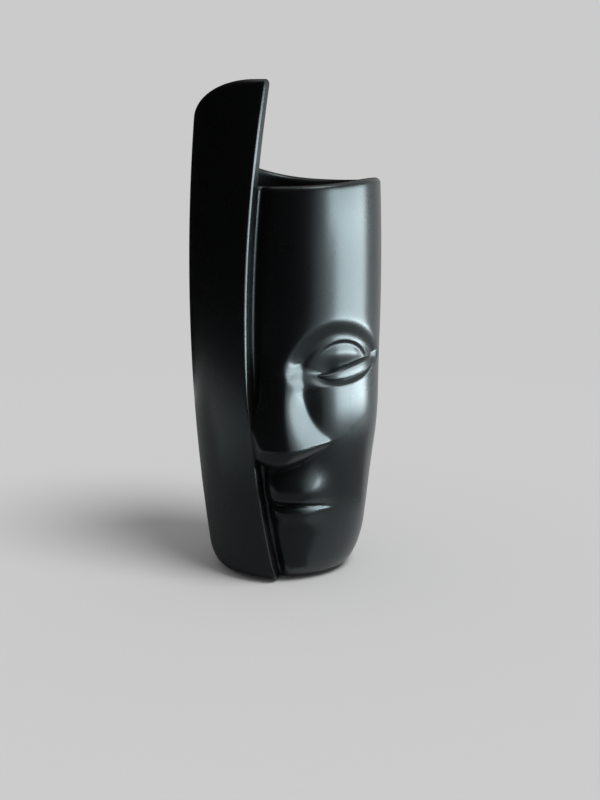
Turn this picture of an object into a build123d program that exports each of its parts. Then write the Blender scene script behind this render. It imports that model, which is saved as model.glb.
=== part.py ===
from build123d import *
import os
from math import cos, exp, pi, radians, sin, sqrt

# A scroll-shaped ceramic vase with half a face in relief, in millimetres.
# The origin is on the barrel's axis at table level, Z points up and the face looks along -Y.
# A turn is an angle in degrees about the axis from the face's mid-line, growing to the viewer's right.
# It runs on along the whole scroll: first the face wall, then the back seam, then the leaf, whose front
# edge comes round to the mid-line again after 360 degrees.

# Barrel: its side is one long arc, a little rounder under the leaf
belly_diameter = 112.7
belly_height = 180.0
face_arc_radius = 1333.0
leaf_arc_radius = 1175.0

# Heights above the table, and thicknesses that stack up from it
felt_thickness = 2.0
slab_thickness = 10.0
rim_height = 240.5
leaf_tip_height = 300.0

# Walls, their rounded lips and how they lap
wall = 6.0
lip_height = 3.0
lip_margin = 0.4
lap_gap = 0.5
lap_width = 15.0
seam_turn = 150.0
end_gap = 0.3
tongue_tuck = 0.4
tongue_bite = 2.5

# Heel: how high and how deep the outside rounds in above the foot, under the face and under the leaf
face_heel_height = 30.0
face_heel_depth = 10.0
leaf_heel_height = 12.0
leaf_heel_depth = 6.0

# Front edge of the leaf: furthest from the mid-line at the bow, nearer to it at the tip and the table
edge_bow_turn = -16.4
edge_bow_height = 147.0
edge_tip_turn = -5.7
edge_table_turn = -1.2

# Rim of the face wall, which swells up over the temple
rim_swell = 3.9
rim_swell_turn = 75.0
rim_swell_half_turn = 45.0

# Rim of the leaf: level for a share of its length, then falling to the rim of the face wall
rim_level_share = 0.05
rim_start_power = 1.9
rim_end_power = 3.1

# Nose: heights, rise above the barrel, and half widths of its ridge and of its foot
nose_root_height = 140.0
nose_tip_height = 88.5
nose_base_height = 73.0
nose_tip_rise = 14.0
nose_fade_top = 173.8
nose_fade = 34.0
root_softness = 0.1
ridge_power = 0.8
under_power = 2.6
ridge_half_width = 4.2
tip_half_width = 6.2
bridge_half_width = 15.0
root_half_width = 20.0
root_flare_height = 132.0
root_flare = 20.0
wing_half_width = 32.5
wing_top_height = 122.0
wing_flare = 31.5
wing_tip_lift = 0.2
wing_base_lift = 0.6
base_flat_width = 9.0
ridge_softness = 0.16
foot_softness = 0.1

# Eye socket: a slope under the arch of the brow down to a floor that is deepest beside the nose
brow_height = 162.8
brow_centre = 36.0
brow_inner_fall = 0.0229
brow_outer_fall = 0.0105
brow_slope = 0.46
brow_softness = 3.0
socket_depth = 3.6
socket_slant = 0.12
slant_width = 20.0
slant_start = 8.0
slant_end = 4.0
floor_softness = 1.2
socket_foot_height = 123.0
socket_foot_centre = 38.0
socket_foot_rise = 0.0065
socket_foot_fade = 7.0
inner_corner = 36.0
inner_fade = 24.0
inner_foot_drop = 6.0
inner_foot_fade = 17.0
nose_side_reach = 8.0
nose_side_fade = 24.0
nose_side_shift = 13.0
nose_side_height = 142.0
nose_side_drop = 22.0
temple_reach = 110.0
temple_fade = 30.0

# Eyeball in an almond opening, falling away from its highest point on all sides
ball_depth = 3.9
ball_height = 143.6
ball_inner_width = 41.0
ball_outer_width = 47.0
ball_inner_slope = 0.13
ball_inner_softness = 4.0
ball_outer_fall = 0.003
ball_tilt = 0.15
ball_slope = 0.36
ball_corner_slope = 0.26
ball_corner_width = 40.0
ball_corner_fade = 14.0
ball_crown = 4.3
ball_deepest = 8.0
opening_height = 149.2
opening_centre = 42.0
opening_inner_fall = 0.025
opening_outer_fall = 0.015
opening_edge = 4.0
opening_inner_edge = 9.0
opening_corner = 16.0
opening_corner_fade = 22.0
opening_end = 74.0
opening_end_fade = 16.0
opening_softness = 0.3

# Lower lid: a crescent roll, thin at the nose and thick at the temple
lid_height = 128.4
lid_centre = 38.0
lid_bend = 8.0
lid_inner_rise = 0.002
lid_outer_slope = 0.15
lid_depth = 2.3
lid_mid_width = 47.0
lid_inner_fall = 0.0055
lid_outer_lift = 0.03
lid_end_width = 66.0
lid_end_fall = 0.02
lid_thin = 3.6
lid_thick = 5.0
lid_thin_width = 26.0
lid_thick_span = 24.0
lid_roll = 2.2
lid_softness = 0.2

# Mouth and chin: heights, rise, and the half height or half width over which each form fades
mouth_height = 51.5
mouth_sag = 0.0016
upper_lip_rise = 6.0
upper_lip_height = 8.0
upper_lip_top_fade = 12.0
upper_lip_under_fade = 6.5
upper_lip_half_width = 29.0
lower_lip_rise = 3.6
lower_lip_drop = 5.5
lower_lip_fade = 5.5
lower_lip_half_width = 26.0
groove_depth = 1.1
groove_fade = 1.3
groove_half_width = 37.0
muzzle_rise = 0.8
muzzle_lift = 3.5
muzzle_fade = 18.0
muzzle_half_width = 33.0
chin_height = 13.0
chin_rise = 3.2
chin_fade = 13.0
chin_half_width = 26.0
mouth_tuck = 2.0
mouth_fade = 14.0

# Cheek, and the hollow along the foot of the nose
cheek_rise = 2.0
cheek_centre = 55.0
cheek_half_width = 60.0
cheek_height = 98.0
cheek_half_height = 26.0
cheek_fade_turn = 40.0
foot_hollow_depth = 1.5
foot_hollow_centre = 18.0
foot_hollow_half_width = 9.0
foot_hollow_height = 108.0
foot_hollow_half_height = 22.0

# Beside the leaf's edge the face stays below the leaf and is pressed in along a soft groove
beside_slope = 1.2
beside_softness = 1.0
press_depth = 1.8
press_centre = 2.4
press_half_width = 4.0
press_end_rise = 5.0
press_fade = 4.0

# Thumbed hollow behind the nose and swelling behind the socket, which keep the wall even
hollow_depth = 8.0
hollow_half_width = 16.0
hollow_height = 98.0
hollow_half_height = 22.0
hollow_start = 14.0
backing_depth = 5.6
backing_centre = 29.0
backing_height = 138.0
backing_half_width = 30.0
backing_half_height = 19.0

# Joining clay inside, and the felt disc
seam_fit = 0.15
seam_edge = 0.8
floor_coil = 7.0
coil_waist_height = 2.5
coil_waist_width = 3.2
lap_coil_width = 9.0
strip_width = 12.0
strip_thickness = 1.8
felt_inset = 2.5

# How many points and sections the surfaces run through, closest together over the mouth and the eye
chin_row_count = 11
mouth_row_count = 26
nose_row_count = 18
eye_row_count = 37
forehead_row_count = 23
face_column_count = 100
plain_column_count = 18
plain_row_count = 14
coil_column_count = 6
lip_point_count = 9
lip_section_count = 28
mouth_low = 40.0
mouth_high = 75.0
eye_low = 120.0
eye_high = 166.0

full_turn = 360.0
belly_radius = 0.5 * belly_diameter
slab_top = felt_thickness + slab_thickness
half_wall = 0.5 * wall
degree = radians(1.0) * belly_radius
hidden_end_turn = edge_bow_turn - lap_width / degree
lap_end_turn = full_turn + hidden_end_turn


def clamp(x):
    return min(max(x, 0.0), 1.0)


def ease(x):
    return clamp(x) ** 2 * (3.0 - 2.0 * clamp(x))


def hump(x, half_width, power=2):
    return exp(-abs(x / half_width) ** power)


def higher(a, b, softness):
    """the higher of two heights, with a soft change from one to the other"""
    return 0.5 * (a + b + sqrt((a - b) ** 2 + softness**2))


def lower(a, b, softness):
    """the lower of two heights, with a soft change from one to the other"""
    return 0.5 * (a + b - sqrt((a - b) ** 2 + softness**2))


def scroll_share(turn):
    """0 on the face wall, rising from the back seam to 1 where the leaf laps over it"""
    return 0.5 - 0.5 * cos(pi * clamp((turn - seam_turn) / (lap_end_turn - seam_turn)))


def body(turn, z):
    """radius of the plain outside of the scroll"""
    share = scroll_share(turn)
    height = face_heel_height + (leaf_heel_height - face_heel_height) * share
    depth = face_heel_depth + (leaf_heel_depth - face_heel_depth) * share
    low = clamp(1.0 - (z - felt_thickness) / height)
    arc_radius = face_arc_radius + (leaf_arc_radius - face_arc_radius) * share
    barrel = belly_radius - (z - belly_height) ** 2 / (2.0 * arc_radius)
    return barrel + (wall + lap_gap) * share - depth * (1.0 - sqrt(1.0 - low**2))


def leaf_edge(z):
    """turn of the leaf's front edge"""
    if z > edge_bow_height:
        share = (z - edge_bow_height) / (leaf_tip_height - edge_bow_height)
        return edge_bow_turn + (edge_tip_turn - edge_bow_turn) * share**2
    share = (edge_bow_height - z) / edge_bow_height
    return edge_bow_turn + (edge_table_turn - edge_bow_turn) * share**2


def face_rim(turn):
    """height of the face wall's rim"""
    return rim_height + rim_swell * hump(turn - rim_swell_turn, rim_swell_half_turn)


def leaf_rim(turn):
    """height of the leaf's rim"""
    front = full_turn + edge_tip_turn
    share = clamp((front - turn) / (front - seam_turn))
    fallen = max(share - rim_level_share, 0.0) / (1.0 - rim_level_share)
    seam_height = face_rim(seam_turn)
    return seam_height + (leaf_tip_height - seam_height) * (1.0 - fallen**rim_start_power) ** rim_end_power


def nose(s, z):
    """rise of the nose at a distance round the barrel from the mid-line"""
    down = (nose_root_height - z) / (nose_root_height - nose_tip_height)
    down = min(higher(down, 0.0, root_softness), 1.0)
    rise = nose_tip_rise * down**ridge_power * ease((nose_fade_top - z) / nose_fade)
    wing = clamp((wing_top_height - z) / wing_flare) ** 2
    root = ease((z - root_flare_height) / root_flare)
    ridge = ridge_half_width + (tip_half_width - ridge_half_width) * wing
    foot = bridge_half_width + (wing_half_width - bridge_half_width) * wing
    foot += (root_half_width - bridge_half_width) * root
    slope = (foot - abs(s)) / (foot - ridge)
    across = lower(higher(slope, 0.0, foot_softness), 1.0, ridge_softness)
    spread = sqrt(s**2 + base_flat_width**2) - base_flat_width
    tip = nose_tip_height + wing_tip_lift * spread
    base = nose_base_height + wing_base_lift * spread
    under = clamp((z - base) / (tip - base))
    return rise * across * (1.0 - (1.0 - under) ** under_power)


def arch(s, height, centre, inner_fall, outer_fall):
    """height of a brow or lid that falls away on both sides of its centre"""
    fall = inner_fall if s < centre else outer_fall
    return height - fall * (s - centre) ** 2


def eyeball(s, z):
    """rise of the eyeball, which is below zero"""
    past = max(s - ball_outer_width, 0.0)
    height = z - ball_height + ball_tilt * past
    corner = ease((ball_corner_width - s) / ball_corner_fade)
    slope = ball_slope + (ball_corner_slope - ball_slope) * corner
    inner = ball_inner_slope * higher(ball_inner_width - s, 0.0, ball_inner_softness)
    ball = -ball_depth - inner - ball_outer_fall * past**2
    ball -= slope * (sqrt(height**2 + ball_crown**2) - ball_crown)
    return higher(ball, -ball_deepest, opening_softness)


def lower_lid(s, z):
    """rise of the lower lid's roll, which is below zero"""
    middle = lid_height + lid_outer_slope * higher(s - lid_centre, 0.0, lid_bend)
    middle += lid_inner_rise * max(lid_centre - s, 0.0) ** 2
    roll = -lid_depth - lid_inner_fall * max(lid_mid_width - s, 0.0) ** 2
    roll += lid_outer_lift * max(min(s, lid_end_width) - lid_mid_width, 0.0)
    roll -= lid_end_fall * max(s - lid_end_width, 0.0) ** 2
    reach = lid_thin + (lid_thick - lid_thin) * ease((s - lid_thin_width) / lid_thick_span)
    return roll - lid_roll * ((z - middle) / reach) ** 2


def eye(s, z):
    """rise of the eye, which is below zero in the socket"""
    inner = ease((inner_corner - s) / inner_fade)
    brow = arch(s, brow_height, brow_centre, brow_inner_fall, brow_outer_fall)
    slant = lower(higher(brow_centre - s, 0.0, slant_start), slant_width, slant_end)
    floor = socket_depth + socket_slant * slant
    socket = -lower(brow_slope * higher(brow - z, 0.0, brow_softness), floor, floor_softness)
    upper_lid = arch(s, opening_height, opening_centre, opening_inner_fall, opening_outer_fall)
    edge = opening_edge + (opening_inner_edge - opening_edge) * inner
    opening = ease((upper_lid - z) / edge + 0.5) * ease((s - opening_corner) / opening_corner_fade)
    opening *= ease((opening_end - s) / opening_end_fade)
    socket += (lower(eyeball(s, z), socket, opening_softness) - socket) * opening
    low = ease((nose_side_height - z) / nose_side_drop)
    left = (s + nose_side_reach - nose_side_shift * low) / (nose_side_fade - nose_side_shift * low)
    foot = arch(s, socket_foot_height, socket_foot_centre, -socket_foot_rise, -socket_foot_rise)
    foot -= inner_foot_drop * inner
    foot_fade = socket_foot_fade + (inner_foot_fade - socket_foot_fade) * inner
    socket *= ease(left) * ease((temple_reach - s) / temple_fade) * ease((z - foot) / foot_fade)
    return higher(socket, lower_lid(s, z), lid_softness)


def mouth(s, z):
    """rise of the lips, the muzzle under them and the chin"""
    line = mouth_height - mouth_sag * s**2
    above = z - line - upper_lip_height
    if above > 0.0:
        lips = upper_lip_rise * hump(above, upper_lip_top_fade)
    else:
        lips = upper_lip_rise * hump(above, upper_lip_under_fade, 4)
    lips *= hump(s, upper_lip_half_width, 4)
    lower_lip = lower_lip_rise * hump(z - line + lower_lip_drop, lower_lip_fade)
    lips += lower_lip * hump(s, lower_lip_half_width, 4)
    groove = groove_depth * hump(z - line, groove_fade) * hump(s, groove_half_width, 8)
    muzzle = muzzle_rise * hump(z - mouth_height - muzzle_lift, muzzle_fade) * hump(s, muzzle_half_width, 4)
    chin = chin_rise * hump(z - chin_height, chin_fade) * hump(s, chin_half_width)
    return lips - groove + muzzle + chin


def cheek(turn, z):
    """rise of the cheek, less the hollow between it and the nose"""
    s = turn * degree
    full = cheek_rise * hump(s - cheek_centre, cheek_half_width) * hump(z - cheek_height, cheek_half_height)
    full *= ease((seam_turn - turn) / cheek_fade_turn)
    hollow = hump(s - foot_hollow_centre, foot_hollow_half_width)
    return full - foot_hollow_depth * hollow * hump(z - foot_hollow_height, foot_hollow_half_height)


def outside(turn, z):
    """radius of the scroll's outside, with the face in relief on the face wall"""
    if turn > seam_turn:
        return body(turn, z)
    s = turn * degree
    past_edge = (turn - leaf_edge(z)) * degree
    relief = nose(s, z) + eye(s, z) + cheek(turn, z)
    relief += mouth(s, z) * ease((past_edge + mouth_tuck) / mouth_fade)
    form = lower(relief, wall + lap_gap + beside_slope * past_edge, beside_softness)
    pressed = press_depth * hump(past_edge - press_centre, press_half_width)
    return body(turn, z) + form - pressed * ease((press_end_rise - form) / press_fade)


def inside(turn, z):
    """radius of the scroll's inside, hollowed behind the nose and swollen behind the socket"""
    s = turn * degree
    hollow = hump(s, hollow_half_width) * hump(z - hollow_height, hollow_half_height)
    hollow *= ease((turn - leaf_edge(z)) * degree / hollow_start)
    backing = hump(s - backing_centre, backing_half_width) * hump(z - backing_height, backing_half_height)
    return body(turn, z) - wall + hollow_depth * hollow - backing_depth * backing


def place(radius, turn, z):
    return Vector(radius * sin(radians(turn)), -radius * cos(radians(turn)), z)


def span(first, last, count):
    return [first + (last - first) * i / (count - 1) for i in range(count)]


def curve_through(points):
    """smooth curve with its points at even parameters, so that the sections match point by point"""
    return Edge.make_spline(points, parameters=span(0.0, 1.0, len(points)))


def level_slice(turns, z, outer, inner):
    """level section of a wall piece between two radii"""
    far = [place(outer(turn, z), turn, z) for turn in turns]
    near = [place(inner(turn, z), turn, z) for turn in reversed(turns)]
    return Wire([curve_through(far), Line(far[-1], near[0]), curve_through(near), Line(near[-1], far[0])])


def lip_cutter(first_turn, last_turn, rim, top):
    """solid above a rounded lip, whose rim height is a function of the turn"""
    half = half_wall + lip_margin
    clear = half + 3.0 * wall
    slices = []
    for turn in span(first_turn, last_turn, lip_section_count):
        z = rim(turn)
        middle = body(turn, z) - half_wall
        crown = []
        for angle in span(pi, 0.0, lip_point_count):
            crown.append(place(middle + half * cos(angle), turn, z - lip_height * (1.0 - sin(angle))))
        corners = [(clear, z - lip_height), (clear, top), (-clear, top), (-clear, z - lip_height)]
        block = [place(middle + across, turn, height) for across, height in corners]
        slices.append(Wire([curve_through(crown), *Polyline(crown[-1], *block, crown[0]).edges()]))
    return Solid.make_loft(slices)


def make_face_wall():
    def tongue_outside(turn, z):
        return body(full_turn + turn, z) - wall - lap_gap - tongue_tuck

    def tongue_inside(turn, z):
        return tongue_outside(turn, z) - wall + 2.0 * tongue_tuck

    loft_top = rim_height + rim_swell + wall
    levels = span(slab_top, mouth_low, chin_row_count)[:-1]
    levels += span(mouth_low, mouth_high, mouth_row_count)[:-1]
    levels += span(mouth_high, eye_low, nose_row_count)[:-1]
    levels += span(eye_low, eye_high, eye_row_count)[:-1]
    levels += span(eye_high, loft_top, forehead_row_count)
    slices = []
    for z in levels:
        turns = span(leaf_edge(z) + end_gap / degree, seam_turn, face_column_count)
        slices.append(level_slice(turns, z, outside, inside))
    cutter = lip_cutter(hidden_end_turn, seam_turn + lap_width / degree, face_rim, loft_top + wall)
    shell = Solid.make_loft(slices) - cutter
    slices = []
    for z in span(slab_top, rim_height - lip_height, plain_row_count):
        turns = span(hidden_end_turn, leaf_edge(z) + (end_gap + tongue_bite) / degree, coil_column_count)
        slices.append(level_slice(turns, z, tongue_outside, tongue_inside))
    return shell + Solid.make_loft(slices)


def make_wrap_leaf():
    slices = []
    for z in span(slab_top, leaf_tip_height + wall, plain_row_count):
        front = full_turn + leaf_edge(z)
        turns = span(seam_turn, front - half_wall / degree, plain_column_count)
        far = [place(body(turn, z), turn, z) for turn in turns]
        near = [place(body(turn, z) - wall, turn, z) for turn in reversed(turns)]
        end = []
        for angle in span(0.0, pi, lip_point_count)[1:-1]:
            turn = front - half_wall * (1.0 - sin(angle)) / degree
            end.append(place(body(turn, z) - half_wall * (1.0 - cos(angle)), turn, z))
        round_end = curve_through([far[-1], *end, near[0]])
        slices.append(Wire([curve_through(far), round_end, curve_through(near), Line(near[-1], far[0])]))
    past_seam = seam_turn - lap_width / degree
    past_front = full_turn + edge_tip_turn + lap_width / degree
    cutter = lip_cutter(past_seam, past_front, leaf_rim, leaf_tip_height + 2.0 * wall)
    return Solid.make_loft(slices) - cutter


def make_floor_slab():
    slices = []
    for z in span(felt_thickness, slab_top, coil_column_count):
        start = leaf_edge(z)
        turns = span(start, start + full_turn, 4 * plain_column_count)
        points = [place(outside(turn, z), turn, z) for turn in turns]
        slices.append(Wire([curve_through(points), Line(points[-1], points[0])]))
    return Solid.make_loft(slices)


def make_floor_seam():
    last_turn = lap_end_turn - (lap_coil_width + seam_fit) / degree
    turns = span(hidden_end_turn, last_turn, 2 * plain_column_count)

    def clear_of_walls(turn, z):
        return inside(turn, z) - seam_fit

    slices = []
    for up, width in ((0.0, floor_coil), (coil_waist_height, coil_waist_width), (floor_coil, seam_edge)):
        def bare_side(turn, z):
            return clear_of_walls(turn, z) - width
        slices.append(level_slice(turns, slab_top + up, clear_of_walls, bare_side))
    return Solid.make_loft(slices)


def make_lap_seam():
    start = lap_end_turn - seam_fit / degree
    end = lap_end_turn - lap_coil_width / degree

    def clear_of_leaf(turn, z):
        return body(turn, z) - wall - seam_fit

    def bare_side(turn, z):
        return clear_of_leaf(turn, z) - seam_edge - (wall - seam_edge) * ((turn - end) / (start - end)) ** 2

    slices = []
    for z in span(slab_top, rim_height - lip_height, plain_row_count):
        slices.append(level_slice(span(start, end, coil_column_count), z, clear_of_leaf, bare_side))
    return Solid.make_loft(slices)


def make_back_seam():
    half_strip = 0.5 * strip_width / degree

    def clear_of_walls(turn, z):
        return inside(turn, z) - seam_fit

    def bare_side(turn, z):
        thinner = (strip_thickness - seam_edge) * ((turn - seam_turn) / half_strip) ** 2
        return clear_of_walls(turn, z) - strip_thickness + thinner

    slices = []
    for z in span(slab_top + floor_coil + seam_fit, rim_height - lip_height, plain_row_count):
        turns = span(seam_turn - half_strip, seam_turn + half_strip, coil_column_count)
        slices.append(level_slice(turns, z, clear_of_walls, bare_side))
    return Solid.make_loft(slices)


def make_base_felt():
    return Solid.make_cylinder(body(0.0, felt_thickness) - felt_inset, felt_thickness)


pieces = {
    "face_wall": make_face_wall,
    "wrap_leaf": make_wrap_leaf,
    "floor_slab": make_floor_slab,
    "floor_seam": make_floor_seam,
    "lap_seam": make_lap_seam,
    "back_seam": make_back_seam,
    "base_felt": make_base_felt,
}
os.makedirs("parts", exist_ok=True)
for name, make in pieces.items():
    piece = make()
    export_step(piece, f"parts/{name}.step")
    print(name, round(piece.volume / 1000.0, 1), "cm3")
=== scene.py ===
# %% [markdown]
# # A black face vase
# The vase is one wall of clay rolled up like a scroll. Its inner end carries half a face in relief, and
# its outer end is a tall leaf that laps over the other half. Everything is glazed satin black.
#
# The CAD model is the frame: every piece made here stands where its solid stands, in metres, with the
# origin on the vase's axis at table level, Z up and the face looking along -Y.

# %% Load the frame
from math import atan, cos, pi, radians, sin

import bpy
import numpy as np
from mathutils import Euler, Matrix, Vector


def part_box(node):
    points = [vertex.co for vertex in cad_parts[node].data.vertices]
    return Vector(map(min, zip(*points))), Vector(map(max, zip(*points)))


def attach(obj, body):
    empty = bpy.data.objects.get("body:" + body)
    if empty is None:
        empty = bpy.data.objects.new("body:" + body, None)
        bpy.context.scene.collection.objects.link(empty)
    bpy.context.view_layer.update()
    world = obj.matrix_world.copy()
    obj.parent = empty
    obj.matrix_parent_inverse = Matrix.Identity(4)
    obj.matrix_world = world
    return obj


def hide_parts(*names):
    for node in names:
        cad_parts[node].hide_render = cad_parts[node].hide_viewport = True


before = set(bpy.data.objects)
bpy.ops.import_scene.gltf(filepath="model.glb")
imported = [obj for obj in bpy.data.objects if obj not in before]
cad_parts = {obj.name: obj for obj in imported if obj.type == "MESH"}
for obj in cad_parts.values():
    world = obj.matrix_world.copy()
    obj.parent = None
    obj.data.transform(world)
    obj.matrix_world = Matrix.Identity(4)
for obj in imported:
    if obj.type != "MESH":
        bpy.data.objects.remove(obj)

scene = bpy.context.scene
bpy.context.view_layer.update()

# %% [markdown]
# ## The barrel and the scroll
# The side of the vase is one long arc, and near the table the clay rounds in to a small foot, its heel.
# Going round, the wall starts under the leaf, runs past the face and the back, and drifts outward by its
# own thickness, so that its end can lap over its start.
#
# A lathe or a spiral curve could draw this, but the face needs exact places on the wall. So each surface
# is a formula: a radius for every turn, in degrees from the face's mid-line, and every height in
# millimetres.

# %% Sizes of the scroll
millimetre = 0.001
full_turn = 360.0
belly_radius = 56.35
belly_height = 180.0
face_arc_radius = 1333.0
leaf_arc_radius = 1175.0
slab_bottom = 2.0
slab_top = 12.0
rim_height = 240.5
leaf_tip_height = 300.0
wall = 6.0
half_wall = 0.5 * wall
lap_gap = 0.5
lap_width = 15.0
lap_step = wall + lap_gap
seam_turn = 150.0
face_heel_height = 30.0
face_heel_depth = 10.0
leaf_heel_height = 12.0
leaf_heel_depth = 6.0
edge_bow_turn = -16.4
edge_bow_height = 147.0
edge_tip_turn = -5.7
edge_table_turn = -1.2
degree = radians(1.0) * belly_radius
hidden_end_turn = edge_bow_turn - lap_width / degree
lap_end_turn = full_turn + hidden_end_turn
print("one degree round the belly in mm:", round(degree, 4))

# %% [markdown]
# Every form is put together from a few soft shapes: a step, a hump, and the higher or lower of two
# heights. A sharp step or a plain maximum would leave a crease in the glaze's reflections, so the changes
# are soft.

# %% Soft steps, humps and joins


def ease(x):
    """0 below 0, 1 above 1, and a soft step between"""
    x = np.clip(x, 0.0, 1.0)
    return x * x * (3.0 - 2.0 * x)


def hump(x, half_width, power=2):
    """1 in the middle, fading to both sides"""
    return np.exp(-np.abs(x / half_width) ** power)


def higher(a, b, softness):
    """the higher of two heights, with a soft change from one to the other"""
    return 0.5 * (a + b + np.sqrt((a - b) ** 2 + softness**2))


def lower(a, b, softness):
    """the lower of two heights, with a soft change from one to the other"""
    return 0.5 * (a + b - np.sqrt((a - b) ** 2 + softness**2))


def past(x, start):
    """how far x is past a start, and 0 before it"""
    return np.clip(x - start, 0.0, None)


def circle_drop(share):
    """how far a quarter circle of radius 1 has dropped at a share of its reach"""
    return 1.0 - np.sqrt(1.0 - share**2)


print("half a soft step:", ease(0.5))

# %% [markdown]
# The plain outside is the barrel without a face. From the back seam to the lap it drifts outward, and its
# heel gets lower and shallower. The leaf's front edge is two parabolas that meet at its bow, where it is
# furthest from the mid-line.

# %% Plain outside of the scroll


def body(turn, z):
    """radius of the plain outside"""
    share = 0.5 - 0.5 * np.cos(pi * np.clip((turn - seam_turn) / (lap_end_turn - seam_turn), 0.0, 1.0))
    heel_height = face_heel_height + (leaf_heel_height - face_heel_height) * share
    heel_depth = face_heel_depth + (leaf_heel_depth - face_heel_depth) * share
    low = np.clip(1.0 - (z - slab_bottom) / heel_height, 0.0, 1.0)
    arc_radius = face_arc_radius + (leaf_arc_radius - face_arc_radius) * share
    barrel = belly_radius - (z - belly_height) ** 2 / (2.0 * arc_radius)
    return barrel + lap_step * share - heel_depth * circle_drop(low)


def leaf_edge(z):
    """turn of the leaf's front edge"""
    up = past(z, edge_bow_height) / (leaf_tip_height - edge_bow_height)
    down = np.clip((edge_bow_height - z) / edge_bow_height, 0.0, None)
    bow = edge_bow_turn + (edge_tip_turn - edge_bow_turn) * up**2
    return bow + (edge_table_turn - edge_bow_turn) * down**2


def beside_edge(turn, z):
    """distance to the right of the leaf's front edge, in millimetres"""
    return (turn - leaf_edge(z)) * degree


def place(radius, turn, z):
    """points in metres"""
    angle = np.radians(turn)
    sides = [radius * np.sin(angle), -radius * np.cos(angle), z + 0.0 * radius]
    return np.stack(sides, axis=-1) * millimetre


print("radius at the belly and the foot:", body(0.0, belly_height), body(0.0, slab_bottom))

# %% [markdown]
# The two rims are heights over the turn. The face wall's rim swells up a little over the temple. The
# leaf's rim is level at its tip, falls in one sweep and ends at the back seam, where it meets the face
# wall's rim.

# %% Rims
rim_swell = 3.9
rim_swell_turn = 75.0
rim_swell_half_turn = 45.0
rim_level_share = 0.05
rim_start_power = 1.9
rim_end_power = 3.1


def face_rim(turn):
    """height of the face wall's rim"""
    return rim_height + rim_swell * hump(turn - rim_swell_turn, rim_swell_half_turn)


def leaf_rim(turn):
    """height of the leaf's rim"""
    front = full_turn + edge_tip_turn
    share = np.clip((front - turn) / (front - seam_turn), 0.0, 1.0)
    fallen = past(share, rim_level_share) / (1.0 - rim_level_share)
    seam_height = face_rim(seam_turn)
    return seam_height + (leaf_tip_height - seam_height) * (1.0 - fallen**rim_start_power) ** rim_end_power


print("rims meet at", round(float(face_rim(seam_turn)), 2), "mm")

# %% [markdown]
# ## The face
# The face is calm and simplified: a long nose, one almond eye without a pupil, closed lips and a small
# chin. Sculpting by hand would be the natural way in Blender, but it can't be repeated by a script. Each
# feature is instead a small height field over the barrel, built from smooth humps, and the heights are
# added up. It is measured by s, the distance round the barrel from the mid-line, and z, the height, both
# in millimetres.
#
# The nose is a ridge that grows from the brow to the tip, flares into a wing, and is undercut at its
# base.

# %% Nose
nose_root_height = 140.0
nose_tip_height = 88.5
nose_base_height = 73.0
nose_tip_rise = 14.0
nose_fade_top = 173.8
nose_fade = 34.0
root_softness = 0.1
ridge_power = 0.8
under_power = 2.6
ridge_half_width = 4.2
tip_half_width = 6.2
bridge_half_width = 15.0
root_half_width = 20.0
root_flare_height = 132.0
root_flare = 20.0
wing_half_width = 32.5
wing_top_height = 122.0
wing_flare = 31.5
wing_tip_lift = 0.2
wing_base_lift = 0.6
base_flat_width = 9.0
ridge_softness = 0.16
foot_softness = 0.1


def nose(s, z):
    """rise of the nose"""
    down = (nose_root_height - z) / (nose_root_height - nose_tip_height)
    down = np.minimum(higher(down, 0.0, root_softness), 1.0)
    rise = nose_tip_rise * down**ridge_power * ease((nose_fade_top - z) / nose_fade)
    wing = np.clip((wing_top_height - z) / wing_flare, 0.0, 1.0) ** 2
    root = ease((z - root_flare_height) / root_flare)
    ridge = ridge_half_width + (tip_half_width - ridge_half_width) * wing
    foot = bridge_half_width + (wing_half_width - bridge_half_width) * wing
    foot = foot + (root_half_width - bridge_half_width) * root
    slope = (foot - np.abs(s)) / (foot - ridge)
    across = lower(higher(slope, 0.0, foot_softness), 1.0, ridge_softness)
    spread = np.sqrt(s**2 + base_flat_width**2) - base_flat_width
    tip = nose_tip_height + wing_tip_lift * spread
    base = nose_base_height + wing_base_lift * spread
    under = np.clip((z - base) / (tip - base), 0.0, 1.0)
    return rise * across * (1.0 - (1.0 - under) ** under_power)


print("nose rise at the tip:", float(nose(np.array(0.0), np.array(nose_tip_height))))

# %% [markdown]
# The eye lies in a socket. Under the arch of the brow the clay slopes down to a floor, which is deepest
# beside the nose. The hollow fades out towards the nose, the temple and the cheek.

# %% Eye socket
brow_height = 162.8
brow_centre = 36.0
brow_inner_fall = 0.0229
brow_outer_fall = 0.0105
brow_slope = 0.46
brow_softness = 3.0
socket_depth = 3.6
socket_slant = 0.12
slant_width = 20.0
slant_start = 8.0
slant_end = 4.0
floor_softness = 1.2
socket_foot_height = 123.0
socket_foot_centre = 38.0
socket_foot_rise = 0.0065
socket_foot_fade = 7.0
inner_corner = 36.0
inner_fade = 24.0
inner_foot_drop = 6.0
inner_foot_fade = 17.0
nose_side_reach = 8.0
nose_side_fade = 24.0
nose_side_shift = 13.0
nose_side_height = 142.0
nose_side_drop = 22.0
temple_reach = 110.0
temple_fade = 30.0


def socket_floor(s, z):
    """height of the slope under the brow and of the floor below it"""
    brow_fall = np.where(s < brow_centre, brow_inner_fall, brow_outer_fall)
    brow = brow_height - brow_fall * (s - brow_centre) ** 2
    slant = lower(higher(brow_centre - s, 0.0, slant_start), slant_width, slant_end)
    deep = socket_depth + socket_slant * slant
    return -lower(brow_slope * higher(brow - z, 0.0, brow_softness), deep, floor_softness)


def inner_share(s):
    """1 beside the nose, fading to 0 towards the middle of the eye"""
    return ease((inner_corner - s) / inner_fade)


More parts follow.
